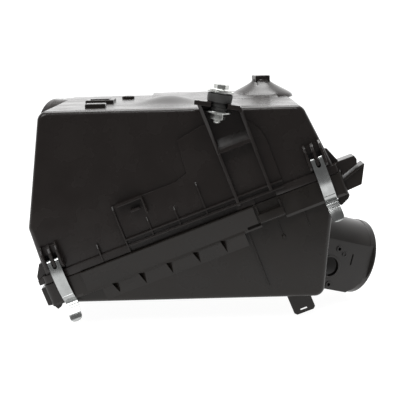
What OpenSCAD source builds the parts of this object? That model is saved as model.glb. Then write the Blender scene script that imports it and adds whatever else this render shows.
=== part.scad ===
// Air filter housing: a wedge-shaped lower case and a deep upper cover that meet on a sloping
// flange, a pleated panel filter between them, an inlet duct on the cover, an outlet duct with
// a sensor port on the case, four spring clips and a rubber-isolated bolt at the front.
//
// Two frames are used.  The level frame has X to the right, Y to the back and Z up, and its zero
// is on the front wall at the middle of the flange.  The flange frame is the level frame turned
// by flange_tilt about Y: u runs along the flange, v stands square to it.
// place() moves the finished part so that the centre of the outlet's mouth is the origin.

/* [Body] */
// Slope of the flange between cover and case, degrees
flange_tilt = 20; // [15:1:22]
// Depth of the cover and case, front wall to back wall
body_depth = 205; // [190:1:215]
// Wall thickness of the mouldings
wall = 3; // [2.5:0.1:3.5]
// Height of the cover's flat top above the flange centre
top_z = 121; // [118:0.5:123]
// Depth of the case's flat bottom below the flange centre
bottom_z = 74; // [72:0.5:76]
// Radius of the rounded outline corners
corner_r = 10; // [6:1:12]

/* [Flange] */
// Height of the skirt that hangs from the case's rim
skirt_h = 24; // [22:1:26]
// Height of the cover's lip above the parting line
lip_h = 8; // [6:1:10]
// Gap between the cover and the case's rim
seam = 0.3; // [0.2:0.1:0.5]

/* [Ducts] */
// Outside radius of the outlet duct
outlet_r = 41; // [40:0.5:42]
// Outside radius of the inlet duct
inlet_r = 35; // [34:0.5:36]
// Wall thickness of the inlet duct
inlet_wall = 2.5; // [2:0.1:3]
// Wall thickness of the outlet duct
outlet_wall = 3.5; // [3.2:0.1:4]

/* [Filter] */
// Pleats in the filter panel
pleats = 28; // [20:1:32]
// Height of the pleat pack
pleat_h = 44; // [36:1:46]

/* [Clips] */
// Width of a clip's strap
clip_w = 12.6; // [12:0.1:13]
// Thickness of a clip's strap
clip_t = 1; // [0.8:0.1:1]
// Radius of a clip's pivot bar
pivot_r = 2; // [1.8:0.1:2.2]

/* [Isolator] */
// Lean of the isolator's axis from upright, degrees
isolator_lean = 9; // [6:1:12]
// Radius of the mounting bolt's shank
bolt_r = 4; // [3.9:0.1:4]

/* [Hidden] */

$fn = 48;
black = [0.16, 0.15, 0.14];
dark_grey = [0.22, 0.21, 0.2];
rubber = [0.09, 0.09, 0.09];
zinc = [0.75, 0.77, 0.74];
paper = [0.85, 0.8, 0.66];

// Centre of the outlet's mouth, and the two turns that take +Z to the outlet's axis
outlet_mouth = [183.5, 110, -58.1];
outlet_turn = [0, 106.3, 22];
outlet_in = 96;      // how far the socket's trough runs into the case
outlet_len = 72;     // length of the duct
rim_len = 7;         // length of the rim that the hose is clamped on
outlet_neck = outlet_r - 0.6;
socket_len = 30;     // length of the trough that closes round the duct's inner end
// Sensor pad: distance of its plane from the tube's axis, thickness, lower edge and two ends
pad_y = 36.8;
pad_t = 4.2;
pad_low = 37.5;
pad_start = 66;
pad_end = 7;
pad_over = 3;        // how far the flat inside the duct runs past the pad's ends
port_x = 13;
port_z = -52;
port_r = 10.5;
port_rise = 0.6;
screws = [[-7.6, -45.4], [32, -48]];
screw_r = 1.8;
// Centre of the inlet's mouth, and its two turns
inlet_mouth = [-154.5, 181, 86];
inlet_turn = [0, 90, 151];
inlet_len = 46;
inlet_free = 11;     // length of the inlet that stands out of its socket
inlet_neck = inlet_r - 0.6;
socket_wall = 3.5;
well_gap = 1.6;      // room round the inlet's free end for the hose

// Ends of the flange along u
cover_left = -154;
cover_right = 157;
kink = [-150.5, 59];
top_left_x = -146.5;
top_right_x = 114;

// The case under its rim
case_left = -150;
case_right = 148;
case_inset = 2;
bottom_left_x = -118;
bottom_right_x = 135;
shelf_v = -12;       // underside of the filter's seal
shelf_t = 3;

skirt_out = 4;       // skirt's face in front of the front wall
lip_out = 3;         // cover lip's face in front of the front wall
skirt_bevel = 2.2;   // width of the bevel that the clips hook under
bevel_h = 3;

seal_w = 14;
seal_gap = 0.7;
pleat_t = 1.6;

// Clips: pivot's height above the flange and its distance in front of the wall
pivot_v = 20;
pivot_out = 7;
pivot_clear = 0.05;
eye_t = 1.4;
fork_gap = 4;        // slot between the strap's two eyes
cheek_t = 2.5;
cheek_gap = 0.4;
clip_left_u = -138;
clip_right_u = 142;

// Fork bracket at the front
leg_t = 4;
leg_left_u = 53;
leg_right_u = 88;
leg_left_top = 119;
leg_right_top = 98;
fork_at = [32, -16, 127.5];
fork_t = 4.5;
fork_slot = 16;

// Isolator stack, heights along its leaning axis from the fork's top face
flange_rubber_h = 8.5;
neck_r = 7.8;
collar_r = 5.8;
washer_t = 1.6;
washer_r = 13;
collar_low = -8.5;
collar_high = 9.5;
nut_h = 6.5;
head_h = 5;
stud_out = 5;
hex_r = 7.5;         // M8 across-corners radius

// Base pegs, which plug into the tray below
peg_left = [-70, 152];
peg_right = [60, 160];
peg_r = 5;
peg_len = 17;
peg_tip = 2;

function flange_of(p) = [p[0] * cos(flange_tilt) + p[1] * sin(flange_tilt),
    -p[0] * sin(flange_tilt) + p[1] * cos(flange_tilt)];

cover_outline = [[cover_left, seam], kink, flange_of([top_left_x, top_z]),
    flange_of([top_right_x, top_z]), [cover_right, seam]];
case_outline = [[case_left, corner_r], [case_left + 2, -skirt_h],
    flange_of([bottom_left_x, -bottom_z]), flange_of([bottom_right_x, -bottom_z]),
    [case_right - 2, -skirt_h], [case_right, corner_r]];

module place() {
    translate(-outlet_mouth) children();
}

module tilted() {
    rotate([0, -flange_tilt, 0]) children();
}

// An outline in the X-Z plane, solid from y0 to y1, with its corners rounded
module prism(points, y0, y1, r = 0) {
    translate([0, y1, 0])
        rotate([90, 0, 0])
            linear_extrude(y1 - y0)
                offset(r = r)
                    offset(delta = -r)
                        polygon(points);
}

// The same outline drawn in by a wall's thickness
module inner_prism(points, y0, y1, inset, r) {
    translate([0, y1, 0])
        rotate([90, 0, 0])
            linear_extrude(y1 - y0)
                offset(r = r)
                    offset(delta = -r - inset)
                        polygon(points);
}

// A plate in the flange frame, given by its corners
module slab(low, high) {
    translate(low) cube(high - low);
}

// A rounded rectangular plate, grow mm larger than the cover's footprint on every side
module footprint(grow, v0, v1, r = 6) {
    translate([0, 0, v0])
        linear_extrude(v1 - v0)
            offset(r = r)
                translate([cover_left - grow + r, r - grow])
                    square([cover_right - cover_left + 2 * (grow - r), body_depth + 2 * (grow - r)]);
}

module outlet_axis() {
    translate(outlet_mouth) rotate(outlet_turn) children();
}

module inlet_axis() {
    translate(inlet_mouth) rotate(inlet_turn) children();
}

// The same piece again on the back wall
module at_back() {
    translate([0, body_depth, 0]) mirror([0, 1, 0]) children();
}

// ---------------------------------------------------------------- case

module skirt() {
    difference() {
        footprint(skirt_out, -skirt_h, 0);
        footprint(skirt_out - wall, -skirt_h - 1, 1, 4);
        for (back = [0, 1])
            skirt_bevel_cut(back);
    }
}

// The bevel along the skirt's lower outside edge at the front or the back
module skirt_bevel_cut(back) {
    y = back ? body_depth + skirt_out : -skirt_out;
    side = back ? -1 : 1;
    translate([cover_left - 10, y, -skirt_h])
        rotate([90, 0, 90])
            linear_extrude(cover_right - cover_left + 20)
                polygon([[-side, -1], [side * (skirt_bevel + 0.75), -1],
                    [side * skirt_bevel, 0], [0, bevel_h], [-side, bevel_h]]);
}

module case_shelf() {
    footprint(skirt_out - wall + 0.5, shelf_v - shelf_t, shelf_v, 4);
}

// The wedge below the shelf; its outline runs on above the shelf and is cut off there
module case_body() {
    difference() {
        prism(case_outline, case_inset, body_depth - case_inset, corner_r);
        slab([case_left - 5, 0, shelf_v], [case_right + 5, body_depth, corner_r + 1]);
    }
}

module gusset(u) {
    gusset_h = 14;
    gusset_out = 7;
    translate([u - 1, 0, -skirt_h - gusset_h + 6])
        rotate([90, 0, 90])
            linear_extrude(2)
                polygon([[case_inset + 1, 0], [case_inset + 1, gusset_h],
                    [case_inset - gusset_out + 4, gusset_h], [case_inset - gusset_out + 4, gusset_h - 4]]);
}

module harness_tab() {
    difference() {
        slab([67, 22, -130], [88, 25, -95]);
        slab([72.5, 20, -127.5], [82, 27, -124.5]);
    }
}

// A catch on the front of the skirt, with its finger gap
module front_catch() {
    difference() {
        slab([69, -9, -23], [95, -skirt_out + 1, -8]);
        slab([73, -7, -20], [91, -skirt_out + 2, -7]);
    }
}

module case_ears() {
    prism([[-163, -2.5], [-156.5, -1.5], [-156.5, -skirt_h], [-163, -22]], 3, 24);
    prism([[159.5, -5.4], [186, -1], [177, -21], [159.5, -21]], 6, 24);
    prism([[153, -22], [161.5, -22], [161.5, -28], [150, -35], [146, -30]], 9, 13);
}

module base_peg(at) {
    translate([at[0], at[1], -bottom_z - peg_len]) {
        cylinder(h = peg_tip, r1 = peg_r - peg_tip / 2, r2 = peg_r);
        translate([0, 0, peg_tip]) cylinder(h = peg_len - peg_tip + 1, r = peg_r);
    }
}

module lower_case() {
    color(dark_grey) place() difference() {
        union() {
            tilted() {
                skirt();
                case_shelf();
                case_body();
                slab([53, 0, -86], [54.5, 3, -skirt_h + 2]);
                for (i = [0 : 5])
                    gusset(-121 + i * 29.1);
                harness_tab();
                front_catch();
                case_ears();
            }
            outlet_axis()
                translate([0, 0, -outlet_in])
                    cylinder(h = socket_len, r = outlet_r + socket_wall);
            base_peg(peg_left);
            base_peg(peg_right);
        }
        tilted() {
            inset = case_inset + wall;
            inner_prism(case_outline, inset, body_depth - inset, wall, corner_r - wall);
        }
        outlet_axis()
            translate([0, 0, -outlet_in + socket_wall])
                cylinder(h = outlet_in, r = outlet_neck);
    }
}

// Round tube with a raised rim and a flat sensor pad on its front side.  The pad is a plane that
// cuts the tube and runs on below it, with a port and a screw hole above and below the port.
module outlet_duct() {
    color(dark_grey) place() outlet_axis() difference() {
        union() {
            difference() {
                translate([0, 0, -outlet_len]) cylinder(h = outlet_len - rim_len, r = outlet_neck);
                translate([-outlet_r, -pad_y - 10, -pad_start])
                    cube([2 * outlet_r, 10, pad_start - pad_end]);
            }
            translate([0, 0, -rim_len]) cylinder(h = rim_len, r = outlet_r);
            pad_foot();
            on_pad([port_x, port_z]) translate([0, 0, -port_rise]) cylinder(h = 3, r = port_r + 2.5);
        }
        outlet_bore();
        on_pad([port_x, port_z]) translate([0, 0, -5]) cylinder(h = 20, r = port_r);
        for (at = screws)
            on_pad(at) translate([0, 0, -1]) cylinder(h = 4.5, r = screw_r);
    }
}

// A point on the pad's face, +Z into the duct
module on_pad(at) {
    translate([at[0], -pad_y, at[1]]) rotate([-90, 0, 0]) children();
}

// The part of the pad that runs on below the tube
module pad_foot() {
    translate([0, -pad_y + 20, 0])
        rotate([90, 0, 0])
            linear_extrude(20)
                polygon([[0, -pad_start + 8], [pad_low, -pad_start + 8], [pad_low, -24], [24, -pad_end],
                    [0, -pad_end]]);
}

// The air's way through the duct, with a flat behind the pad
module outlet_bore() {
    difference() {
        translate([0, 0, -outlet_len - 1]) cylinder(h = outlet_len + 2, r = outlet_r - outlet_wall);
        translate([-outlet_r, -outlet_r, -pad_start - pad_over])
            cube([2 * outlet_r, outlet_r - pad_y + pad_t, pad_start - pad_end + 2 * pad_over]);
    }
}

// ---------------------------------------------------------------- cover

module cover_lip() {
    difference() {
        footprint(lip_out, seam, lip_h);
        footprint(-wall, seam - 1, lip_h + 1, 3);
    }
}

// Raised pad on the front wall, stepped along its upper edge
module front_pad() {
    prism([[-63, 2], [-63, 50], [5, 50], [18, 54], [21, 84], [50, 88], [98, 72], [104, 62], [104, 2]], -2, 1);
}

module front_ribs() {
    rib_out = 4.5;
    for (v = [7.4, 14])
        slab([-63, -rib_out, v - 0.8], [104, 0, v + 0.8]);
    for (rib = [[-92, 20], [-35, 23], [-6, 24], [23, 43]])
        slab([rib[0] - 0.8, -rib_out, 2], [rib[0] + 0.8, 0, rib[1]]);
    slab([-64, -rib_out, 2], [-62.4, 0, 50]);
}

// Open-bottomed hook for a cable on the front wall
module cable_hook() {
    slab([-59, -9, 48], [-31, 0, 51]);
    slab([-33, -9, 32], [-31, 0, 51]);
    slab([-47, -9, 39], [-37, -7, 51]);
}

// Leg up the front wall; it stands free of the wall above wall_top
module leg(u, top, wall_top) {
    translate([u, 0, 0])
        rotate([90, 0, 90])
            linear_extrude(leg_t)
                polygon([[1, 5], [-5, 5], [-9, 60], [-17, 92], [-30, top - 5], [-30, top], [-2, top],
                    [1, wall_top]]);
}

// Fork plate that carries the isolator on top of the two legs
module fork() {
    translate(fork_at) rotate([0, isolator_lean, 0]) difference() {
        translate([-24, -14, -fork_t]) cube([44, 32, fork_t]);
        translate([-fork_slot / 2, -20, -fork_t - 1]) cube([fork_slot, 20, fork_t + 2]);
        translate([0, 0, -fork_t - 1]) cylinder(h = fork_t + 2, r = fork_slot / 2);
    }
}

// Two cheeks with a middle rib that hold a clip's pivot bar
module clip_pocket(u) {
    half = clip_w / 2 + cheek_gap;
    difference() {
        union() {
            for (side = [u - half - cheek_t, u + half])
                slab([side, -11, 12], [side + cheek_t, 1, 37]);
            slab([u - 1.5, -pivot_out - 3, 15], [u + 1.5, 1, 37]);
            slab([u - half, -3, 28], [u + half, 1, 37]);
        }
        translate([u - 20, -pivot_out, pivot_v])
            rotate([0, 90, 0])
                cylinder(h = 40, r = pivot_r);
    }
}

module cover_ears() {
    prism([[-156, 22], [-152, 22], [-152, seam], [-162.5, seam], [-162, 10]], 3, 24);
    prism([[155, 26], [157, 26], [162, 9], [179, 9.5], [178.4, seam], [155, seam]], 6, 24);
}

module top_details() {
    // Shallow dome for the inlet's swirl, as a slice of a large ball
    intersection() {
        translate([-22, 86, top_z - 63.2 + 9]) sphere(r = 63.2, $fn = 96);
        translate([-70, 40, top_z - 1]) cube([100, 100, 20]);
    }
    // Low plateau along the back, with a long slope at its front
    translate([-40, 0, top_z])
        rotate([90, 0, 90])
            linear_extrude(140)
                polygon([[112, -1], [112, 0], [150, 3], [196, 3], [196, -1]]);
    // Cone with its square cap
    translate([84, 165, top_z - 1]) cylinder(h = 16, r1 = 35, r2 = 10);
    translate([84, 165, top_z + 14]) rotate([0, 0, 12]) translate([-8.5, -8.5, 0]) cube([17, 17, 8]);
    // Small blocks and a ring boss at the left
    translate([-103, 32, top_z - 1]) cube([21, 14, 5]);
    translate([-104, 70, top_z - 1]) cube([30, 34, 5]);
    translate([-67, 150, top_z - 1]) difference() {
        cylinder(h = 4, r = 7);
        translate([0, 0, 1]) cylinder(h = 4, r = 4.5);
    }
}

// Cup in the cover's corner that the hose's end slides into, round the inlet's free end
module inlet_well() {
    intersection() {
        tilted() prism(cover_outline, 0, body_depth, corner_r);
        inlet_axis()
            translate([0, 0, -inlet_free - wall])
                cylinder(h = 60, r = inlet_r + well_gap + wall);
    }
}

// Everything of the cover that stands outside its hollow
module cover_outside() {
    union() {
        tilted() {
            prism(cover_outline, 0, body_depth, corner_r);
            cover_lip();
            front_pad();
            front_ribs();
            cable_hook();
            leg(leg_left_u, leg_left_top, 104);
            leg(leg_right_u, leg_right_top, 92);
            slab([leg_left_u + 1, -9, 60], [leg_right_u + 1, 0, 69]);
            for (u = [clip_left_u, clip_right_u]) {
                clip_pocket(u);
                at_back() clip_pocket(u);
            }
            cover_ears();
        }
        top_details();
        fork();
        inlet_socket();
    }
}

// Wall round the inlet where it runs into the cover, flush with the cover's top
module inlet_socket() {
    difference() {
        inlet_axis()
            translate([0, 0, -inlet_len])
                cylinder(h = inlet_len - inlet_free, r = inlet_r + socket_wall);
        translate([-200, 100, top_z]) cube([140, 160, 20]);
    }
}

module upper_cover() {
    color(black) place() difference() {
        union() {
            difference() {
                cover_outside();
                tilted() {
                    inner_prism(cover_outline, wall, body_depth - wall, wall, corner_r - wall);
                    slab([cover_left + wall, wall, -5], [cover_right - wall, body_depth - wall, 25]);
                    slab([cover_left - 20, -20, -60], [cover_right + 40, body_depth + 20, seam]);
                }
            }
            inlet_well();
        }
        inlet_axis()
            translate([0, 0, -inlet_len - 1])
                cylinder(h = inlet_len + 2, r = inlet_neck);
        inlet_axis()
            translate([0, 0, -inlet_free])
                cylinder(h = 90, r = inlet_r + well_gap);
    }
}

module inlet_duct() {
    color(black) place() inlet_axis() difference() {
        union() {
            translate([0, 0, -inlet_len]) cylinder(h = inlet_len, r = inlet_neck);
            translate([0, 0, -inlet_free]) cylinder(h = inlet_free, r = inlet_r);
        }
        translate([0, 0, -inlet_len - 1]) cylinder(h = inlet_len + 2, r = inlet_r - inlet_wall);
    }
}

// ---------------------------------------------------------------- filter

seal_u0 = cover_left - skirt_out + wall + seal_gap;
seal_u1 = cover_right + skirt_out - wall - seal_gap;
seal_y0 = -skirt_out + wall + seal_gap;
seal_y1 = body_depth - seal_y0;

module filter_seal() {
    color(rubber) place() tilted() difference() {
        footprint(skirt_out - wall - seal_gap, shelf_v, -0.1, 4);
        slab([seal_u0 + seal_w, seal_y0 + seal_w, shelf_v - 1], [seal_u1 - seal_w, seal_y1 - seal_w, 1]);
    }
}

// Zigzag of pleats across the panel, drawn as one folded sheet
module filter_media() {
    u0 = seal_u0 + seal_w;
    pitch = (seal_u1 - seal_w - u0) / pleats;
    low = shelf_v + 3;
    function fold(i, up) = [u0 + i * pitch / 2, low + up + (i % 2) * (pleat_h - pleat_t)];
    color(paper) place() tilted()
        prism(concat([for (i = [0 : 2 * pleats]) fold(i, 0)],
            [for (i = [2 * pleats : -1 : 0]) fold(i, pleat_t * 2)]),
            seal_y0 + seal_w, seal_y1 - seal_w);
}

// ---------------------------------------------------------------- clips

// The strap's centre line, as distance out from the wall and height
clip_line = [[9.9, 20], [10.8, 12], [11, 3], [10.2, -6], [8.2, -14], [5.8, -19.8], [2.6, -24.2], [2.2, -25.4],
    [3, -27], [6, -30.5], [9.6, -36], [11.6, -41], [11.4, -44]];

function unit(a) = a / norm(a);
function side_of(line, i) =
    let (before = line[max(i - 1, 0)], after = line[min(i + 1, len(line) - 1)], d = unit(after - before))
    [d[1], -d[0]];
function strap(line, t) = concat(
    [for (i = [0 : len(line) - 1]) line[i] + side_of(line, i) * t / 2],
    [for (i = [len(line) - 1 : -1 : 0]) line[i] - side_of(line, i) * t / 2]);

// Strap with two rolled eyes round the pivot bar, on the front wall at u
module clip(u) {
    eye_r = pivot_r + pivot_clear + eye_t;
    difference() {
        union() {
            translate([u - clip_w / 2, 0, 0])
                rotate([90, 0, 90])
                    linear_extrude(clip_w)
                        mirror([1, 0])
                            polygon(strap(clip_line, clip_t));
            translate([u - clip_w / 2, -pivot_out, pivot_v])
                rotate([0, 90, 0])
                    cylinder(h = clip_w, r = eye_r);
        }
        translate([u - clip_w, -pivot_out, pivot_v])
            rotate([0, 90, 0])
                cylinder(h = clip_w * 2, r = pivot_r + pivot_clear);
        slab([u - fork_gap / 2, -pivot_out - 6, pivot_v - 7], [u + fork_gap / 2, 0, pivot_v + 6]);
    }
}

module front_piece() {
    place() tilted() children();
}

module rear_piece() {
    place() tilted() at_back() children();
}

module pivot_bar(u) {
    half = clip_w / 2 + cheek_gap + cheek_t;
    translate([u - half, -pivot_out, pivot_v])
        rotate([0, 90, 0])
            cylinder(h = 2 * half, r = pivot_r);
}

// ---------------------------------------------------------------- isolator and bolt

module isolator_axis() {
    place() translate(fork_at) rotate([0, isolator_lean, 0]) children();
}

module isolator_rubber() {
    low = -fork_t - 1.5;
    color(rubber) isolator_axis()
        rotate_extrude()
            polygon([[collar_r, low], [8.6, low], [8.6, -fork_t - 0.05], [neck_r, -fork_t - 0.05],
                [neck_r, 0.05], [12.2, 0.05], [12.2, flange_rubber_h - 1], [11.2, flange_rubber_h],
                [collar_r, flange_rubber_h]]);
}

module isolator_collar() {
    color(zinc) isolator_axis() difference() {
        translate([0, 0, collar_low]) cylinder(h = collar_high - collar_low, r = collar_r);
        translate([0, 0, collar_low - 1]) cylinder(h = collar_high - collar_low + 2, r = bolt_r);
    }
}

module washer(base) {
    color(zinc) isolator_axis() translate([0, 0, base]) difference() {
        cylinder(h = washer_t, r = washer_r);
        translate([0, 0, -1]) cylinder(h = washer_t + 2, r = bolt_r);
    }
}

module mount_bolt() {
    head_base = collar_high + washer_t;
    low = collar_low - washer_t - nut_h - stud_out;
    color(zinc) isolator_axis() union() {
        translate([0, 0, low]) cylinder(h = head_base - low + 1, r = bolt_r);
        translate([0, 0, head_base]) cylinder(h = 1, r = hex_r + 1);
        translate([0, 0, head_base + 1]) cylinder(h = head_h, r = hex_r, $fn = 6);
    }
}

module mount_nut() {
    color(zinc) isolator_axis() translate([0, 0, collar_low - washer_t - nut_h]) difference() {
        union() {
            cylinder(h = nut_h, r = hex_r, $fn = 6);
            translate([0, 0, nut_h - 1]) cylinder(h = 1, r = hex_r + 1);
        }
        translate([0, 0, -1]) cylinder(h = nut_h + 2, r = bolt_r);
    }
}

lower_case();
outlet_duct();
upper_cover();
inlet_duct();
filter_seal();
filter_media();
color(zinc) front_piece() clip(clip_left_u);  // clip_front_left
color(zinc) front_piece() clip(clip_right_u);  // clip_front_right
color(zinc) rear_piece() clip(clip_left_u);  // clip_rear_left
color(zinc) rear_piece() clip(clip_right_u);  // clip_rear_right
color(black) front_piece() pivot_bar(clip_left_u);  // pivot_front_left
color(black) front_piece() pivot_bar(clip_right_u);  // pivot_front_right
color(black) rear_piece() pivot_bar(clip_left_u);  // pivot_rear_left
color(black) rear_piece() pivot_bar(clip_right_u);  // pivot_rear_right
isolator_rubber();
isolator_collar();
mount_bolt();
washer(collar_high);  // upper_washer
washer(collar_low - washer_t);  // lower_washer
mount_nut();
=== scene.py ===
"""Looks of the air filter housing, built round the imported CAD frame.

Shapes are built in millimetres and finish_piece() takes them to the frame's metres.  The level
frame has X right, Y back and Z up, with zero on the front wall at the middle of the flange.  The
flange frame is the level frame turned by TILT about Y: u runs along the flange, v stands square to
it.  Most outlines are (u, v) points and run from one y to another.
"""
import math

import bmesh
import bpy
from mathutils import Matrix, Vector


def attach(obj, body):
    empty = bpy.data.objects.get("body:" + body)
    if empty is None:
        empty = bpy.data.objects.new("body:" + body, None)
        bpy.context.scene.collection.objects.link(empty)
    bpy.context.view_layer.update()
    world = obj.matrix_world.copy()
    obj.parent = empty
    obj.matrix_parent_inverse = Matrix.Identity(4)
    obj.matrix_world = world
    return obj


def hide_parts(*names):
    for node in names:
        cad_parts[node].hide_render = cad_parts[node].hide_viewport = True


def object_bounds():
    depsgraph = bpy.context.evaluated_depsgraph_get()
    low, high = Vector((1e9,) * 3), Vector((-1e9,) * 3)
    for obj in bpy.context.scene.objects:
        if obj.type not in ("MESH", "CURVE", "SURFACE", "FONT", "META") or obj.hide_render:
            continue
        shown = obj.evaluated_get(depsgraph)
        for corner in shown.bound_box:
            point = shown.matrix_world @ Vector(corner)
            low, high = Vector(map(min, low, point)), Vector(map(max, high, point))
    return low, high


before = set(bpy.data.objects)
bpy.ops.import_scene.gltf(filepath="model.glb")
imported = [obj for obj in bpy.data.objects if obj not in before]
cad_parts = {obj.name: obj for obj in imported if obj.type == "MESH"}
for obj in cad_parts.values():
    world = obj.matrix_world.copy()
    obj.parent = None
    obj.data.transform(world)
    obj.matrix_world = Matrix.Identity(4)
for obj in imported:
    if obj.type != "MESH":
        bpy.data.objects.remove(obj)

CAD_LOW, CAD_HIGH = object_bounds()

# ------------------------------------------------------------------ dimensions, mm

TILT = math.radians(20)
DEPTH = 205
WALL = 3
TOP_Z = 121
BOTTOM_Z = -74
CORNER_R = 10            # outline corners, seen from the front
EDGE_R = 5               # edges round the front and back walls
DRAFT = 0.012            # lean of the front and back walls, mm per mm of height

COVER_LEFT, COVER_RIGHT = -154, 157
CASE_LEFT, CASE_RIGHT = -150, 148
CASE_INSET = 2
SEAM = 0.3
LIP_OUT, LIP_H = 3, 9
SKIRT_OUT, SKIRT_H = 4, 24
SHELF_V = -12

OUTLET_MOUTH = Vector((183.5, 110, -58.1))
OUTLET_TURN = (math.radians(106.3), math.radians(22))
OUTLET_R, OUTLET_NECK, OUTLET_BORE, OUTLET_LEN, RIM_LEN = 41, 40.4, 37.5, 72, 7
PAD_Y, PAD_T, PAD_START, PAD_OVER = 36.8, 4.2, 66, 3
PAD_FOOT = [(0, -58), (37.5, -58), (37.5, -24), (24, -7), (0, -7)]
PORT_X, PORT_Z, PORT_R = 13, -52, 10.5
SCREWS, SCREW_R = [(-7.6, -45.4), (32, -48)], 1.8
INLET_MOUTH = Vector((-154.5, 181, 86))
INLET_TURN = (math.radians(90), math.radians(151))
INLET_R, INLET_NECK, INLET_BORE, INLET_LEN, INLET_FREE = 35, 34.4, 32.5, 46, 11
WELL_R = 36.6
SOCKET_WALL = 3.5

CLIP_W, CLIP_T = 12.6, 1.0
PIVOT_V, PIVOT_OUT, PIVOT_R = 20, 7, 2
CLIP_U = {"left": -138, "right": 142}
CHEEK_GAP, CHEEK_T = 0.4, 2.5
CLIP_LINE = [(9.9, 20), (10.8, 12), (11, 3), (10.2, -6), (8.2, -14), (5.8, -19.8), (2.6, -24.2), (2.2, -25.4),
             (3, -27), (6, -30.5), (9.6, -36), (11.45, -41), (11.4, -44)]

FORK_AT = Vector((32, -16, 127.5))
FORK_LEAN = math.radians(9)
FORK_T, FORK_SLOT = 4.5, 16
BOLT_R, THREAD_PITCH, COLLAR_R, WASHER_R, WASHER_T = 4, 1.25, 5.8, 13, 1.6
COLLAR_LOW, COLLAR_HIGH = -8.5, 9.5
NUT_H, HEAD_H, STUD_SEEN, HEX_R = 6.5, 5, 3.4, 7.5
RUBBER_H, RUBBER_R, NECK_R, RUBBER_LOW_R = 8.5, 12.2, 7.8, 8.6

PLEATS, PLEAT_STEPS, MEDIA_H, SEAL_W, SEAL_GAP = 28, 12, 44, 14, 0.7

# ------------------------------------------------------------------ frames

LEVEL = Matrix.Identity(4)
FLANGE = Matrix.Rotation(-TILT, 4, "Y")
AT_BACK = FLANGE @ Matrix.Translation((0, DEPTH, 0)) @ Matrix.Scale(-1, 4, (0, 1, 0))
FORK = Matrix.Translation(FORK_AT) @ Matrix.Rotation(FORK_LEAN, 4, "Y")
TO_FRAME = Matrix.Scale(0.001, 4) @ Matrix.Translation(-OUTLET_MOUTH)


def turned(mouth, turn):
    """The frame whose +Z leaves a duct's mouth along its axis."""
    tip, swing = turn
    return Matrix.Translation(mouth) @ Matrix.Rotation(swing, 4, "Z") @ Matrix.Rotation(tip, 4, "Y")


OUTLET = turned(OUTLET_MOUTH, OUTLET_TURN)
INLET = turned(INLET_MOUTH, INLET_TURN)
ALONG_U = Matrix.Rotation(math.radians(90), 4, "Y")      # turns +Z to +X
INTO_PAD = Matrix.Rotation(math.radians(-90), 4, "X")    # turns +Z to +Y


def to_flange(x, z):
    """A level-frame point of the front wall as (u, v)."""
    return (x * math.cos(TILT) + z * math.sin(TILT), -x * math.sin(TILT) + z * math.cos(TILT))


COVER_OUTLINE = [(COVER_LEFT, 1.5), (-150.5, 59), to_flange(-146.5, TOP_Z), to_flange(114, TOP_Z),
                 (COVER_RIGHT, 1.5)]
CASE_OUTLINE = [(CASE_LEFT, SHELF_V - 1), (CASE_LEFT + 2, -SKIRT_H), to_flange(-118, BOTTOM_Z),
                to_flange(135, BOTTOM_Z), (CASE_RIGHT - 2, -SKIRT_H), (CASE_RIGHT, SHELF_V - 1)]

# ------------------------------------------------------------------ mesh tools


def bevel_sharp(bm, width, segments=2, angle=25):
    """Rounds every edge that is sharper than angle."""
    if width <= 0:
        return bm
    limit = math.radians(angle)
    edges = [e for e in bm.edges if len(e.link_faces) == 2 and e.calc_face_angle(0) > limit]
    bmesh.ops.bevel(bm, geom=edges, offset=width, segments=segments, profile=0.5, affect="EDGES",
                    clamp_overlap=True)
    return bm


def skin(rings, wrap=False, caps=True):
    """A mesh from rings of points, each joined to the next; wrap also joins the last to the first."""
    bm = bmesh.new()
    rows = [[bm.verts.new(p) for p in row] for row in rings]
    count = len(rows[0])
    pairs = list(zip(rows, rows[1:]))
    if wrap:
        pairs.append((rows[-1], rows[0]))
    for low, high in pairs:
        for i in range(count):
            j = (i + 1) % count
            bm.faces.new((low[i], low[j], high[j], high[i]))
    if caps and not wrap:
        bm.faces.new(list(reversed(rows[0])))
        bm.faces.new(rows[-1])
    bmesh.ops.recalc_face_normals(bm, faces=bm.faces)
    return bm


def prism(outline, y0, y1, bevel=0.5, segments=2):
    """An outline of (across, up) points, solid from y0 to y1."""
    return bevel_sharp(skin([[(a, y, b) for a, b in outline] for y in (y0, y1)]), bevel, segments)


def side_prism(outline, x0, x1, bevel=0.5, segments=2):
    """An outline of (y, z) points, solid from x0 to x1."""
    return bevel_sharp(skin([[(x, a, b) for a, b in outline] for x in (x0, x1)]), bevel, segments)


def slab(low, high, bevel=0.5, segments=2):
    """A block from its lowest to its highest corner."""
    (x0, y0, z0), (x1, y1, z1) = low, high
    return prism([(x0, z0), (x1, z0), (x1, z1), (x0, z1)], y0, y1, bevel, segments)


def lathe(profile, steps=64, wrap=True):
    """Turns (radius, height) points about Z; a wrapped profile makes a ring."""
    turns = [2 * math.pi * k / steps for k in range(steps)]
    return skin([[(r * math.cos(t), r * math.sin(t), z) for t in turns] for r, z in profile], wrap)


def rod(r, z0, z1, steps=64, bevel=0.4):
    """A round bar with bevelled ends."""
    return lathe([(r - bevel, z0), (r, z0 + bevel), (r, z1 - bevel), (r - bevel, z1)], steps, wrap=False)


def tube(r_out, r_in, z0, z1, lip=0.8, steps=96):
    """A round duct with rounded lips."""
    k = lip * 0.3
    low = [(r_in, z0 + lip), (r_in + k, z0 + k), (r_in + lip, z0), (r_out - lip, z0), (r_out - k, z0 + k),
           (r_out, z0 + lip)]
    high = [(r_out, z1 - lip), (r_out - k, z1 - k), (r_out - lip, z1), (r_in + lip, z1), (r_in + k, z1 - k),
            (r_in, z1 - lip)]
    return lathe(low + high, steps)


def hexagon(r, z0, z1):
    """A hexagonal bar with chamfered corners."""
    points = [(r * math.cos(math.radians(60 * k)), r * math.sin(math.radians(60 * k))) for k in range(6)]
    return bevel_sharp(skin([[(x, y, z) for x, y in points] for z in (z0, z1)]), 0.5, 2)


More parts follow.
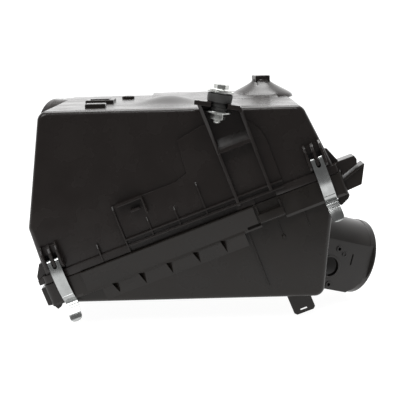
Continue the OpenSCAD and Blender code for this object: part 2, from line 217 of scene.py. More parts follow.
def rounded_rect(box, r, z, steps=6):
    """A rounded rectangle's points at height z."""
    x0, x1, y0, y1 = box
    corners = ((x1 - r, y1 - r, 0), (x0 + r, y1 - r, 90), (x0 + r, y0 + r, 180), (x1 - r, y0 + r, 270))
    points = []
    for cx, cy, start in corners:
        for k in range(steps + 1):
            t = math.radians(start + 90 * k / steps)
            points.append((cx + r * math.cos(t), cy + r * math.sin(t), z))
    return points


def ring(outer, inner, z0, z1, bevel=0.6, r_out=6, r_in=4):
    """A rounded rectangular frame; outer and inner are (x0, x1, y0, y1)."""
    loops = [rounded_rect(outer, r_out, z0), rounded_rect(outer, r_out, z1), rounded_rect(inner, r_in, z1),
             rounded_rect(inner, r_in, z0)]
    return bevel_sharp(skin(loops, wrap=True), bevel, 2, 40)


def footprint(grow):
    """The cover's footprint grown by so many millimetres."""
    return (COVER_LEFT - grow, COVER_RIGHT + grow, -grow, DEPTH + grow)


def round_corners(points, radius, steps=8):
    """An open outline with its sharp inner corners turned into arcs."""
    out = [points[0]]
    for before, at, after in zip(points, points[1:], points[2:]):
        at = Vector(at)
        a, b = (Vector(before) - at).normalized(), (Vector(after) - at).normalized()
        turn = math.pi - a.angle(b)
        if turn < math.radians(20):
            out.append(tuple(at))
            continue
        reach = radius * math.tan(turn / 2)
        centre = at + (a + b).normalized() * (radius / math.cos(turn / 2))
        first, last = at + a * reach - centre, at + b * reach - centre
        for k in range(steps + 1):
            out.append(tuple(centre + first.lerp(last, k / steps).normalized() * radius))
    out.append(points[-1])
    return out


def inset(points, by):
    """An outline drawn in towards its middle."""
    mid = Vector((sum(p[0] for p in points), sum(p[1] for p in points))) / len(points)
    return [tuple(Vector(p) - (Vector(p) - mid).normalized() * by) for p in points]


# ------------------------------------------------------------------ pieces


def object_of(name, parts):
    """One mesh object from (bmesh, matrix) parts."""
    whole = bmesh.new()
    for bm, matrix in parts:
        bm.transform(matrix)
        if matrix.determinant() < 0:
            bmesh.ops.reverse_faces(bm, faces=bm.faces)
        scratch = bpy.data.meshes.new("scratch")
        bm.to_mesh(scratch)
        bm.free()
        whole.from_mesh(scratch)
        bpy.data.meshes.remove(scratch)
    mesh = bpy.data.meshes.new(name)
    whole.to_mesh(mesh)
    whole.free()
    piece = bpy.data.objects.new(name, mesh)
    bpy.context.scene.collection.objects.link(piece)
    return piece


def bake(piece):
    """Applies a piece's modifiers."""
    graph = bpy.context.evaluated_depsgraph_get()
    graph.update()
    mesh = bpy.data.meshes.new_from_object(piece.evaluated_get(graph))
    old = piece.data
    piece.modifiers.clear()
    piece.data = mesh
    bpy.data.meshes.remove(old)
    mesh.name = piece.name
    return piece


def combine(piece, parts, operation):
    """Joins or cuts the parts one after another, and removes them."""
    tools = []
    for part in parts:
        tool = part if isinstance(part, bpy.types.Object) else object_of("tool", [part])
        step = piece.modifiers.new("step", "BOOLEAN")
        step.operation = operation
        step.solver = "MANIFOLD"
        step.object = tool
        tools.append(tool)
    bake(piece)
    for tool in tools:
        mesh = tool.data
        bpy.data.objects.remove(tool)
        bpy.data.meshes.remove(mesh)
    return piece


def add(piece, *parts):
    """Joins parts to a piece."""
    return combine(piece, parts, "UNION")


def cut(piece, *parts):
    """Cuts parts out of a piece."""
    return combine(piece, parts, "DIFFERENCE")


def keep(piece, *parts):
    """Keeps only what a piece shares with the parts."""
    return combine(piece, parts, "INTERSECT")


def finish_piece(piece, body, material, nodes=(), angle=32):
    """Takes a piece to the frame, gives it shading, a material and a body, and hides the CAD nodes it stands
    in for.
    """
    mesh = piece.data
    mesh.transform(TO_FRAME)
    mesh.polygons.foreach_set("use_smooth", [True] * len(mesh.polygons))
    mesh.set_sharp_from_angle(angle=math.radians(angle))
    weighted = piece.modifiers.new("normals", "WEIGHTED_NORMAL")
    weighted.keep_sharp = True
    mesh.materials.clear()
    mesh.materials.append(material)
    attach(piece, body)
    if nodes:
        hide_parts(*nodes)
    return piece


def housing(outline, y_front, y_back, edge):
    """A closed block with rounded corners, drafted walls and rounded edges, open outline side down."""
    points = round_corners(outline, CORNER_R)
    front = [(u, y_front + DRAFT * abs(v), v) for u, v in points]
    back = [(u, y_back - DRAFT * abs(v), v) for u, v in points]
    bm = skin([front, back])
    bm.verts.ensure_lookup_table()
    last = len(points) - 1
    rim = {0, last, len(points), len(points) + last}
    rim_face = next(f for f in bm.faces if {v.index for v in f.verts} == rim)
    rim_edges = set(rim_face.edges)
    limit = math.radians(40)
    edges = [e for e in bm.edges if e not in rim_edges and e.calc_face_angle(0) > limit]
    bmesh.ops.delete(bm, geom=[rim_face], context="FACES_ONLY")
    bmesh.ops.bevel(bm, geom=edges, offset=edge, segments=5, profile=0.5, affect="EDGES", clamp_overlap=True)
    return bm


def hollow_shell(name, outline, y_front, y_back):
    """A thin housing, open along the straight side of its outline."""
    piece = object_of(name, [(housing(outline, y_front, y_back, EDGE_R), FLANGE)])
    thick = piece.modifiers.new("wall", "SOLIDIFY")
    thick.thickness = WALL
    thick.offset = -1
    thick.use_even_offset = True
    return bake(piece)


def ease(t):
    """A smooth step from 0 to 1."""
    t = min(max(t, 0), 1)
    return t * t * (3 - 2 * t)


def lean_corner(piece, by):
    """Draws the top left corner in towards the back, where the wall makes room for the inlet."""
    for v in piece.data.vertices:
        x, y, z = v.co
        v.co.x += by * ease((-100 - x) / 46) * ease((z - 30) / 80) * ease(y / 60)
    return piece


# ------------------------------------------------------------------ materials


def nodes_of(material):
    """An empty node tree with one shader, as (tree, shader)."""
    material.use_nodes = True
    tree = material.node_tree
    tree.nodes.clear()
    out = tree.nodes.new("ShaderNodeOutputMaterial")
    shader = tree.nodes.new("ShaderNodeBsdfPrincipled")
    tree.links.new(shader.outputs["BSDF"], out.inputs["Surface"])
    return tree, shader


def noise(tree, coords, scale, detail=2.0, stretch=None):
    """A noise value over the object's own coordinates, drawn out by stretch."""
    texture = tree.nodes.new("ShaderNodeTexNoise")
    texture.inputs["Scale"].default_value = scale
    texture.inputs["Detail"].default_value = detail
    source = coords.outputs["Object"]
    if stretch:
        mapping = tree.nodes.new("ShaderNodeMapping")
        mapping.inputs["Scale"].default_value = stretch
        tree.links.new(source, mapping.inputs["Vector"])
        source = mapping.outputs["Vector"]
    tree.links.new(source, texture.inputs["Vector"])
    return texture.outputs["Fac"]


def ramp(tree, source, low, high, start=0.35, end=0.65):
    """Maps a 0 to 1 value onto two colours or two grey levels."""
    node = tree.nodes.new("ShaderNodeValToRGB")
    for element, place, value in zip(node.color_ramp.elements, (start, end), (low, high)):
        element.position = place
        element.color = (*value, 1) if isinstance(value, tuple) else (value, value, value, 1)
    tree.links.new(source, node.inputs["Fac"])
    return node.outputs["Color"]


def surface(name, dark, light, rough, metal=0.0, grain=1400, depth=0.00003, mottle=35, stretch=None,
            specular=0.5):
    """A moulded, rolled or woven surface: mottled colour, uneven gloss and fine grain."""
    material = bpy.data.materials.new(name)
    tree, shader = nodes_of(material)
    coords = tree.nodes.new("ShaderNodeTexCoord")
    wide = noise(tree, coords, mottle, 3.0)
    fine = noise(tree, coords, grain, 2.0, stretch)
    tree.links.new(ramp(tree, wide, dark, light), shader.inputs["Base Color"])
    tree.links.new(ramp(tree, wide, rough - 0.05, rough + 0.05), shader.inputs["Roughness"])
    bump = tree.nodes.new("ShaderNodeBump")
    bump.inputs["Strength"].default_value = 0.35
    bump.inputs["Distance"].default_value = depth
    tree.links.new(fine, bump.inputs["Height"])
    tree.links.new(bump.outputs["Normal"], shader.inputs["Normal"])
    shader.inputs["Metallic"].default_value = metal
    shader.inputs["Specular IOR Level"].default_value = specular
    return material


COVER_PLASTIC = surface("cover_plastic_look", (0.0158, 0.0127, 0.0116), (0.0178, 0.0144, 0.0131), 0.26,
                        specular=0.32)
CASE_PLASTIC = surface("case_plastic_look", (0.0115, 0.0095, 0.008), (0.015, 0.0124, 0.0105), 0.3,
                       specular=0.3)
OUTLET_PLASTIC = surface("outlet_plastic_look", (0.023, 0.021, 0.0198), (0.03, 0.0275, 0.0258), 0.34,
                         specular=0.3)
PIVOT_PLASTIC = surface("pivot_plastic_look", (0.02, 0.019, 0.018), (0.03, 0.028, 0.026), 0.4, grain=2600)
SPRING_STEEL = surface("spring_steel_look", (0.36, 0.37, 0.365), (0.5, 0.51, 0.505), 0.22, 1.0, grain=900,
                       depth=0.00002, mottle=60, stretch=(1, 1, 0.08))
ZINC = surface("zinc_look", (0.5, 0.51, 0.49), (0.66, 0.67, 0.65), 0.32, 1.0, grain=2200, depth=0.00002,
               mottle=180)
RUBBER = surface("rubber_look", (0.035, 0.035, 0.034), (0.05, 0.05, 0.048), 0.6, grain=1800)
SEAL_FOAM = surface("seal_foam_look", (0.03, 0.03, 0.03), (0.06, 0.06, 0.058), 0.85, grain=2400,
                    depth=0.0001)
PAPER = surface("filter_paper_look", (0.62, 0.54, 0.36), (0.74, 0.66, 0.47), 0.9, grain=900, depth=0.00012,
                stretch=(1, 0.15, 1), mottle=90)

# ------------------------------------------------------------------ cover


def clip_pocket(u):
    """Cheeks, middle rib and backing plate for a clip."""
    half = CLIP_W / 2 + CHEEK_GAP
    cheek = [(1, 12), (-8.5, 12), (-11, 15), (-11, 31), (-8.8, 35.4), (-4, 38.3), (1, 38.3)]
    rib = [(1, 15), (-10, 15), (-10, 30), (-7.5, 34.5), (-3, 37.5), (1, 37.5)]
    return [side_prism(cheek, u - half - CHEEK_T, u - half, 0.5),
            side_prism(cheek, u + half, u + half + CHEEK_T, 0.5),
            side_prism(rib, u - 1.5, u + 1.5, 0.4),
            slab((u - half - 0.5, -3, 28), (u + half + 0.5, 1, 36.6), 0.3)]


def front_rib(u, top):
    """An upright rib that leans into the wall at its top."""
    return side_prism([(1, 1), (-4.5, 1), (-4.5, top - 4), (-2.4, top), (1, top)], u - 0.8, u + 0.8, 0.3)


def dome(radius, height):
    """A smooth bump on a flat face."""
    rows = [(radius, -2)]
    for k in range(13):
        t = k / 12
        rows.append((max(radius * (1 - t), 0.4), height * (0.5 - 0.5 * math.cos(math.pi * t)) ** 0.9))
    return lathe(rows, 72, wrap=False)


def front_details():
    """What stands on the cover's front: lip, stepped pad, ribs, cable hook and bracket legs."""
    pad = [(-63, 2), (-63, 50), (5, 50), (18, 54), (21, 88), (50, 93), (86, 84), (96, 78), (101.5, 68),
           (104, 58), (104, 2)]
    parts = [ring(footprint(LIP_OUT), footprint(0.4 - WALL), SEAM, LIP_H, 0.7), prism(pad, -2, 1, 0.7)]
    for v in (7.4, 14):
        long_rib = [(-63, v - 0.8), (104, v - 0.8), (104, v + 0.8), (-63, v + 0.8)]
        parts.append(prism(long_rib, -5.6, 1, 0.35))
    parts += [front_rib(u, top) for u, top in ((-92, 20), (-35, 28), (-6, 28), (23, 43), (-63.2, 50))]
    parts += [slab((-59, -9, 48), (-31, 1, 51), 0.6), slab((-33, -9, 32), (-31, 1, 50), 0.5),
              slab((-47, -9, 38.5), (-37, 1, 41), 0.5)]
    for u, top, wall_top in ((53, 119, 104), (88, 98, 92)):
        leg = [(1, 5), (-5, 5), (-9, 60), (-17, 92), (-29.6, top - 5), (-29.6, top), (-2, top), (1, wall_top)]
        parts.append(side_prism(leg, u + 0.3, u + 3.7, 0.6))
    shelf = [(1, 60), (-7, 60), (-10, 61.5), (-9.5, 65), (-7, 68), (-3.6, 75), (1, 75)]
    plate = [(55, 62), (90, 62), (90, 96), (55, 115)]
    return parts + [side_prism(shelf, 54, 89, 0.6), prism(plate, -3.8, 1, 0.4)]


def cover_ears():
    """The cover's halves of the two corner ears."""
    left = [(-155, 21.5), (-151, 22), (-151, 1), (-162.5, 1), (-162, 10)]
    left_web = [(-162.3, 6), (-153, 10), (-153, 0.6), (-162.5, 0.6)]
    right_web = [(154.5, 26), (156.6, 25), (163, 9), (163, 2), (154.5, 2)]
    right = [(156, 9.2), (179.1, 8.8), (180.5, 4.6), (179, -0.4), (161.6, -6.2), (161.6, 0.6), (156, 0.6)]
    return [prism(left, 3, 24, 0.6), prism(left_web, 1.4, 4, 0.6), prism(right_web, 9, 12, 0.5),
            prism(right, 6, 24, 0.6)]


def on_top(x, y, z=0):
    """The frame of a point over the cover's top, z above it."""
    return Matrix.Translation((x, y, TOP_Z + z))


def top_details():
    """What stands on the cover's top: dome, plateau, capped cone, raised blocks and a small ring."""
    plateau = [(108, 119), (112, 121.1), (150, 124), (196, 124), (196, 119)]
    cone = [(36, -2), (35.4, 0.2), (33.6, 2.2), (29.6, 4.6), (24.6, 7.2), (19.2, 10), (14.2, 12.8), (11, 15),
            (9.5, 18)]
    cap_turn = Matrix.Rotation(math.radians(12), 4, "Z")
    small_ring = [(4.5, -2), (7, -2), (7, 2.5), (6.5, 3), (5, 3), (4.5, 2.5)]
    return [(dome(44, 7.4), on_top(-20, 84)), (side_prism(plateau, -40, 100, 0.8), LEVEL),
            (lathe(cone, 72, wrap=False), on_top(84, 165)),
            (slab((-8.5, -8.5, 14), (8.5, 8.5, 22), 0.9), on_top(84, 165) @ cap_turn),
            (slab((-103, 32, 119), (-82, 46, 125), 1.2), LEVEL),
            (slab((-108, 82, 119), (-78, 116, 125), 1.2), LEVEL),
            (slab((-103, 87, 124), (-83, 111, 126), 0.6), LEVEL),
            (lathe(small_ring, 40), on_top(-67, 150)), (rod(3.2, -1, 1.2, 32), on_top(-67, 150))]


def inlet_socket():
    """The collar round the inlet, trimmed flush with the cover's top."""
    socket = object_of("socket", [(rod(INLET_R + SOCKET_WALL, -INLET_LEN, -INLET_FREE, 96, 0.9), INLET)])
    return cut(socket, (slab((-200, 100, TOP_Z - 0.2), (-60, 260, TOP_Z + 20), 0), LEVEL))


def inlet_cup(lean):
    """The wall of the hose's well, inside the corner only."""
    cup = object_of("cup", [(rod(WELL_R + WALL, -INLET_FREE - WALL, 40, 96), INLET)])
    outline = inset(round_corners(COVER_OUTLINE, CORNER_R), 1.2)
    inside = object_of("inside", [(prism(outline, 1.2, DEPTH - 1.2, 0), FLANGE)])
    return keep(cup, lean_corner(inside, lean))


def make_cover():
    lean = 6
    cover = lean_corner(hollow_shell("cover_moulding", COVER_OUTLINE, 0, DEPTH), lean)
    parts, back = front_details(), []
    for u in CLIP_U.values():
        parts += clip_pocket(u)
        back += clip_pocket(u)
    parts += cover_ears()
    add(cover, *[(bm, FLANGE) for bm in parts])
    add(cover, *[(bm, AT_BACK) for bm in back])
    add(cover, *top_details())
    add(cover, (slab((-24, -14, -FORK_T), (20, 18, 0), 0.7), FORK))
    add(cover, inlet_socket())
    add(cover, inlet_cup(lean))

    # A lens-shaped hollow in the top's front, grooves in the lip, the fork's slot and the inlet's hole
    lens = lathe([(0.4, -1.6), (9, -1.2), (15, -0.5), (19, 0.6), (19, 3)], 48, wrap=False)
    cuts = [(lens, on_top(57, 9.5) @ Matrix.Diagonal((0.95, 0.22, 1, 1))),
            (slab((70.5, -8, -4), (93.5, -0.9, 6.2), 0.4), FLANGE),
            (slab((-62, -8, -4), (52, -0.9, 6.2), 0.4), FLANGE),
            (slab((-FORK_SLOT / 2, -20, -7), (FORK_SLOT / 2, 0, 3), 0), FORK),
            (rod(FORK_SLOT / 2, -7, 3, 48, 0), FORK),
            (rod(INLET_NECK, -INLET_LEN - 1, 2, 96), INLET), (rod(WELL_R, -INLET_FREE, 80, 96), INLET)]
    for place in (FLANGE, AT_BACK):
        for u in CLIP_U.values():
            at = place @ Matrix.Translation((u - 20, -PIVOT_OUT, PIVOT_V)) @ ALONG_U
            cuts.append((rod(PIVOT_R, 0, 40, 32, 0), at))
    cut(cover, *cuts)
    return finish_piece(cover, "cover", COVER_PLASTIC, ["upper_cover"])


# ------------------------------------------------------------------ case


def gusset_pocket(a, b, c):
    """A three-cornered pocket, deepest along its left side a-c and running out at b."""
    bm = bmesh.new()
    front = [bm.verts.new((u, -6, v)) for u, v in (a, b, c)]
    deep = [bm.verts.new((u, 1.7, v)) for u, v in (a, c)]
    near = bm.verts.new((b[0], -3.2, b[1]))
    for face in ((front[0], front[1], front[2]), (front[0], front[2], deep[1], deep[0]),
                 (front[0], deep[0], near, front[1]), (front[2], front[1], near, deep[1]),
                 (deep[0], deep[1], near)):
        bm.faces.new(face)
    bmesh.ops.recalc_face_normals(bm, faces=bm.faces)
    return bm


GUSSETS = [((-92.6, -22.4), (-84, -24.1), (-89.2, -34.9)),
           ((-63.9, -22.5), (-56, -24), (-60.6, -36.5)), ((-34.3, -23), (-26, -24.2), (-31.7, -37)),
           ((-5.7, -22.4), (2.7, -24.6), (-1.8, -37)), ((24.3, -21.5), (33.5, -23.6), (27, -37))]


def case_front():
    """What stands on the case: skirt, shelf, ribs, harness tab and catch."""
    skirt = ring(footprint(SKIRT_OUT), footprint(SKIRT_OUT - WALL), -SKIRT_H, 0, 0.9, r_in=4)
    shelf = ring(footprint(SKIRT_OUT - WALL + 0.5), (-146.4, 144.4, 5.6, 199.4), SHELF_V - WALL, SHELF_V, 0)
    blend = [(3, -21), (-3.4, -21), (-3.7, -24.4), (-1.6, -29.5), (2.1, -37.5), (4, -40)]
    raised = [(-3, 0), (-7, 0), (-7, -1.5), (-4.1, -20.9), (-3, -20.9)]
    tab = [(66, -92), (67, -127.5), (69.5, -130), (87.6, -130), (90, -127.5), (89, -92)]
    return [skirt, shelf, side_prism(blend, -104, 50, 0), side_prism(raised, -118, 67, 0.5),
            slab((53, -0.4, -84), (54.4, 4, -23), 0.3), slab((85, 0.9, -41), (85.9, 4, -23), 0.3),
            slab((113, 0.9, -41), (113.9, 4, -23), 0.3), prism(tab, 22, 25, 0.6),
            slab((69, -9, -18.4), (95, -3, -9.8), 0.9), slab((69, -6, -18.4), (71, -3, -1), 0.5),
            slab((93, -7.4, -18.4), (95, -3, -2), 0.6)]


def case_ears():
    """The case's halves of the two corner ears."""
    left = [(-163, -3.2), (-156, -2.2), (-156, -23.6), (-163, -22)]
    left_foot = [(-157, -21), (-154.5, -21), (-150.5, -27.5), (-155, -29), (-158, -23)]
    right = [(159.6, -9.6), (175.2, -4), (185.2, -1.4), (186, -3), (176.6, -21.3), (159.6, -22.3)]
    right_edge = [(159.6, -9.6), (175.2, -4), (185.2, -1.4), (185.8, -3), (175.2, -6.6), (159.6, -11.8)]
    right_foot = [(155, -22), (161.6, -22.6), (162, -27.8), (159.6, -30.8), (150.9, -34.8), (147, -31)]
    return [prism(left, 3, 24, 0.6), prism(left_foot, 3, 12, 0.5), prism(right, 6, 24, 0.6),
            prism(right_edge, 3.5, 7, 0.5), prism(right_foot, 9, 13, 0.5)]


def outlet_trough():
    """The wall that closes round the outlet's inner end, outside the case's hollow only."""
    trough = object_of("trough", [(rod(OUTLET_R + SOCKET_WALL, -96, -66, 96, 0.9), OUTLET)])
    hollow = inset(round_corners(CASE_OUTLINE, CORNER_R), WALL + 0.4)
    hollow[0] = (hollow[0][0], 0)
    hollow[-1] = (hollow[-1][0], 0)
    wall = CASE_INSET + WALL + 0.2
    return cut(trough, (prism(hollow, wall, DEPTH - wall, 0), FLANGE))


def make_case():
    case = hollow_shell("case_moulding", CASE_OUTLINE, CASE_INSET, DEPTH - CASE_INSET)
    add(case, *[(bm, FLANGE) for bm in case_front() + case_ears()])
    knob = lathe([(1.6, -0.5), (2, 0), (2, 5), (1.6, 5)], 24, wrap=False)
    add(case, (knob, FLANGE @ Matrix.Translation((85.4, 1, -42)) @ INTO_PAD))
    for x, y in ((-70, 152), (60, 160)):
        peg = lathe([(4, -17), (5, -15), (5, 1)], 48, wrap=False)
        add(case, (peg, Matrix.Translation((x, y, BOTTOM_Z))))
    add(case, outlet_trough())

    # The gussets' pockets, the bevel that the clips hook under, the tab's slot and the catch's recesses
    cuts = [(gusset_pocket(*corners), FLANGE) for corners in GUSSETS]
    hook_bevel = [(-6, -30), (-6, -21), (-4, -21), (-1.8, -24.2), (-1.8, -30)]
    for place, start, end in ((FLANGE, -175, -124), (FLANGE, 51, 180), (AT_BACK, -175, 180)):
        cuts.append((side_prism(hook_bevel, start, end, 0), place))
    under_catch = [(-6, -30), (-6, -18.4), (-3.6, -18.4), (-1.8, -20.6), (-1.8, -30)]
    cuts += [(slab((74.2, 20, -127.2), (81.8, 27, -124.9), 0.9), FLANGE),
             (slab((71.2, -8, -9.4), (93, -2.7, 3), 0.3), FLANGE),
             (slab((54.6, -6, -21.8), (68.6, -0.8, -18.6), 0.2), FLANGE),
             (side_prism(under_catch, 69, 95, 0), FLANGE),
             (rod(OUTLET_NECK, -92.5, 10, 96, 0), OUTLET)]
    cut(case, *cuts)
    return finish_piece(case, "case", CASE_PLASTIC, ["lower_case"])


# ------------------------------------------------------------------ ducts


def on_pad(x, z, y=-PAD_Y):
    """The frame of a point on the sensor pad, +Z into the duct."""
    return OUTLET @ Matrix.Translation((x, y, z)) @ INTO_PAD


def make_outlet():
    # The tube, cut to a flat on its front
    r, neck = OUTLET_R, OUTLET_NECK
    profile = [(neck - 1, -OUTLET_LEN), (neck, 1 - OUTLET_LEN), (neck, -RIM_LEN - 0.5), (r, -RIM_LEN),
               (r, -1.2), (r - 0.35, -0.35), (r - 1.2, 0), (30, 0), (30, -OUTLET_LEN)]
    duct = object_of("outlet_moulding", [(lathe(profile, 128), OUTLET)])
    flat = [(-PAD_Y, -PAD_START), (-PAD_Y, -3.6), (-r - 0.6, -1.6), (-60, -1.6), (-60, -PAD_START)]
    cut(duct, (side_prism(flat, -60, 60, 0), OUTLET))

    # The pad's foot and chin, the port's ring, a pip and the screw bosses
    chin = [(30, -70), (43.5, -70), (41.5, -48), (38.8, -30), (30, -30)]
    port_ring = [(9, 3), (12.2, 3), (13, 2.2), (13, 0), (12.4, -0.6), (9, -0.6)]
    pip = [(1.4, 2), (3, 2), (3, -0.3), (2.6, -0.8), (1.8, -0.8), (1.4, -0.4)]
    boss = [(1, 2), (3.6, 2), (3.6, -0.5), (3.2, -0.9), (1, -0.9)]
    add(duct, (prism(PAD_FOOT, -PAD_Y, -PAD_Y + 20, 0.8), OUTLET), (prism(chin, -19, 4, 0.8), OUTLET),
        (lathe(port_ring, 64), on_pad(PORT_X, PORT_Z)), (lathe(pip, 32), on_pad(-2.9, -37.6)),
        *[(lathe(boss, 32), on_pad(x, z)) for x, z in SCREWS])

    # The bore, flat behind the pad, then the port, a slot and the screw holes
    bore = object_of("bore", [(rod(OUTLET_BORE, -OUTLET_LEN - 1, 1, 128, 0), OUTLET)])
    cut(bore, (slab((-60, -60, -PAD_START - PAD_OVER), (60, PAD_T - PAD_Y, -1), 0), OUTLET))
    cuts = [bore, (rod(PORT_R, -5, 15, 64, 0), on_pad(PORT_X, PORT_Z)),
            (slab((-5, -PAD_Y - 3, -27.9), (7.2, -PAD_Y + 1.5, -26.1), 0.3), OUTLET)]
    cuts += [(rod(SCREW_R, -2, 3.5, 32, 0), on_pad(x, z)) for x, z in SCREWS]
    cut(duct, *cuts)
    return finish_piece(duct, "case", OUTLET_PLASTIC, ["outlet_duct"])


def make_inlet():
    r, neck, bore = INLET_R, INLET_NECK, INLET_BORE
    profile = [(bore, -INLET_LEN + 0.6), (bore + 0.6, -INLET_LEN), (neck - 0.5, -INLET_LEN),
               (neck, -INLET_LEN + 0.5), (neck, -INLET_FREE - 0.2), (r, -INLET_FREE), (r, -1),
               (r - 0.3, -0.3), (r - 1, 0), (bore + 0.8, 0), (bore + 0.2, -0.3), (bore, -1)]
    inlet = object_of("inlet_moulding", [(lathe(profile, 128), INLET)])
    return finish_piece(inlet, "cover", COVER_PLASTIC, ["inlet_duct"])


# ------------------------------------------------------------------ clips


def smooth(points, steps=4):
    """Extra points along a line, on curves through the given ones."""
    out = []
    for i in range(len(points) - 1):
        p = [Vector(points[min(max(i + k, 0), len(points) - 1)]) for k in (-1, 0, 1, 2)]
        for s in range(steps):
            t = s / steps
            out.append(0.5 * (2 * p[1] + (p[2] - p[0]) * t + (2 * p[0] - 5 * p[1] + 4 * p[2] - p[3]) * t * t
                              + (3 * p[1] - p[0] - 3 * p[2] + p[3]) * t ** 3))
    out.append(Vector(points[-1]))
    return out


def strap():
    """The sprung strap, across from -half to half, with its end rounded."""
    line = smooth(CLIP_LINE)
    runs = [0.0]
    for a, b in zip(line, line[1:]):
        runs.append(runs[-1] + (b - a).length)
    half, end_r, edge = CLIP_W / 2, 4.6, 0.22
    rows = []
    for i, (at, run) in enumerate(zip(line, runs)):
        along = (line[min(i + 1, len(line) - 1)] - line[max(i - 1, 0)]).normalized()
        out = Vector((-along[1], along[0])) * (CLIP_T / 2)
        past = max(end_r - (runs[-1] - run), 0)
        wide = half - (end_r - math.sqrt(max(end_r * end_r - past * past, 0)))
        row = []
        for x, side in ((-wide, edge), (-wide + edge, 1), (wide - edge, 1), (wide, edge), (wide, -edge),
                        (wide - edge, -1), (-wide + edge, -1), (-wide, -edge)):
            p = at + out * side
            row.append((x, -p[0], p[1]))
        rows.append(row)
    return skin(rows)


def make_clip(name, u, place):
    """The strap with its rolled eye, three pressed ridges and the slot that clears the middle rib."""
    at = place @ Matrix.Translation((u, 0, 0))
    clip = object_of("look_" + name, [(strap(), at)])
    roll = PIVOT_R + 0.05
    pivot = at @ Matrix.Translation((0, -PIVOT_OUT, PIVOT_V)) @ ALONG_U
    parts = [(rod(roll + 1.4, -CLIP_W / 2, CLIP_W / 2, 40, 0.25), pivot)]
    for out, v in ((7.5, -17.2), (4.15, -28.0), (6.35, -30.2)):
        ridge = rod(0.55, -CLIP_W / 2 + 0.6, CLIP_W / 2 - 0.6, 12, 0.2)
        parts.append((ridge, at @ Matrix.Translation((0, -out, v)) @ ALONG_U))
    add(clip, *parts)
    slot = [(-2.3, 30), (-2.3, 15.6), (-1.9, 14.2), (-1, 13.3), (0, 13), (1, 13.3), (1.9, 14.2), (2.3, 15.6),
            (2.3, 30)]
    cut(clip, (rod(roll, -20, 20, 40, 0), pivot), (prism(slot, -20, -1, 0), at))
    return finish_piece(clip, name, SPRING_STEEL, [name], 40)


# ------------------------------------------------------------------ isolator and bolt


def make_rubber():
    low, under = COLLAR_LOW + 0.05, -FORK_T - 0.05
    bore, neck, wide, head = COLLAR_R, NECK_R, RUBBER_LOW_R, RUBBER_R
    profile = [(bore, low), (wide - 0.4, low), (wide, low + 0.4), (wide, -FORK_T - 0.6), (wide - 0.6, under),
               (neck, under), (neck, 0.05), (head - 1, 0.05), (head - 0.4, 0.6), (head, 4),
               (head, RUBBER_H - 1.1), (head - 0.3, RUBBER_H - 0.4), (head - 1.1, RUBBER_H), (bore, RUBBER_H)]
    bush = object_of("isolator_bush", [(lathe(profile, 80), FORK)])
    finish_piece(bush, "cover", RUBBER, ["isolator_rubber"])


def make_washers():
    for name, base in (("upper_washer", COLLAR_HIGH), ("lower_washer", COLLAR_LOW - WASHER_T)):
        washer = tube(WASHER_R, BOLT_R, base, base + WASHER_T, 0.4, 72)
        finish_piece(object_of("look_" + name, [(washer, FORK)]), "cover", ZINC, [name])


def make_bolt():
    """The flanged bolt, with rings for its thread and a dished head."""
    head = COLLAR_HIGH + WASHER_T
    thread_end = COLLAR_LOW - WASHER_T
    bottom = thread_end - NUT_H - STUD_SEEN
    thread, z = [], bottom + 1.2
    while z < thread_end:
        thread += [(BOLT_R, z), (BOLT_R, z + 0.25), (BOLT_R - 0.45, z + 0.65)]
        z += THREAD_PITCH
    profile = [(BOLT_R - 1, bottom), (BOLT_R - 0.1, bottom + 1)] + thread
    profile += [(BOLT_R, z + 0.3), (BOLT_R, head + 0.5)]
    bolt = object_of("flange_bolt", [(lathe(profile, 40, wrap=False), FORK)])
    flange = [(HEX_R + 3, head), (HEX_R + 3.4, head + 0.3), (HEX_R + 3.4, head + 0.9),
              (HEX_R - 0.8, head + 2.4)]
    add(bolt, (lathe(flange, 48, wrap=False), FORK), (hexagon(HEX_R, head + 0.5, head + 1 + HEAD_H), FORK))
    dish = [(0.5, head + 5.2), (3.2, head + 5.4), (3.4, head + 8)]
    cut(bolt, (lathe(dish, 32, wrap=False), FORK))
    finish_piece(bolt, "cover", ZINC, ["mount_bolt"])


def make_nut():
    top = COLLAR_LOW - WASHER_T
    base = top - NUT_H
    turn = Matrix.Rotation(math.radians(10), 4, "Z")
    nut = object_of("flange_nut", [(hexagon(HEX_R + 0.4, base, top - 0.5), FORK @ turn)])
    flange = [(HEX_R - 0.6, top - 1.6), (HEX_R + 1, top - 0.9), (HEX_R + 1, top - 0.2), (HEX_R + 0.8, top)]
    add(nut, (lathe(flange, 48, wrap=False), FORK))
    cut(nut, (rod(BOLT_R, base - 1, top + 1, 40, 0), FORK))
    finish_piece(nut, "cover", ZINC, ["mount_nut"])


# ------------------------------------------------------------------ filter


def seal_box(by=0):
    """The seal's outline in the flange frame, drawn in by so many millimetres."""
    reach = SKIRT_OUT - WALL - SEAL_GAP - by
    return (COVER_LEFT - reach, COVER_RIGHT + reach, -reach, DEPTH + reach)


def make_seal():
    seal = object_of("filter_gasket",
                     [(ring(seal_box(), seal_box(SEAL_W), SHELF_V, -0.1, 0.9, 4, 1.5), FLANGE)])
    cut(seal, (ring(seal_box(3.4), seal_box(4.6), -1.1, 2, 0, 3, 2), FLANGE))
    finish_piece(seal, "filter", SEAL_FOAM, ["filter_seal"])


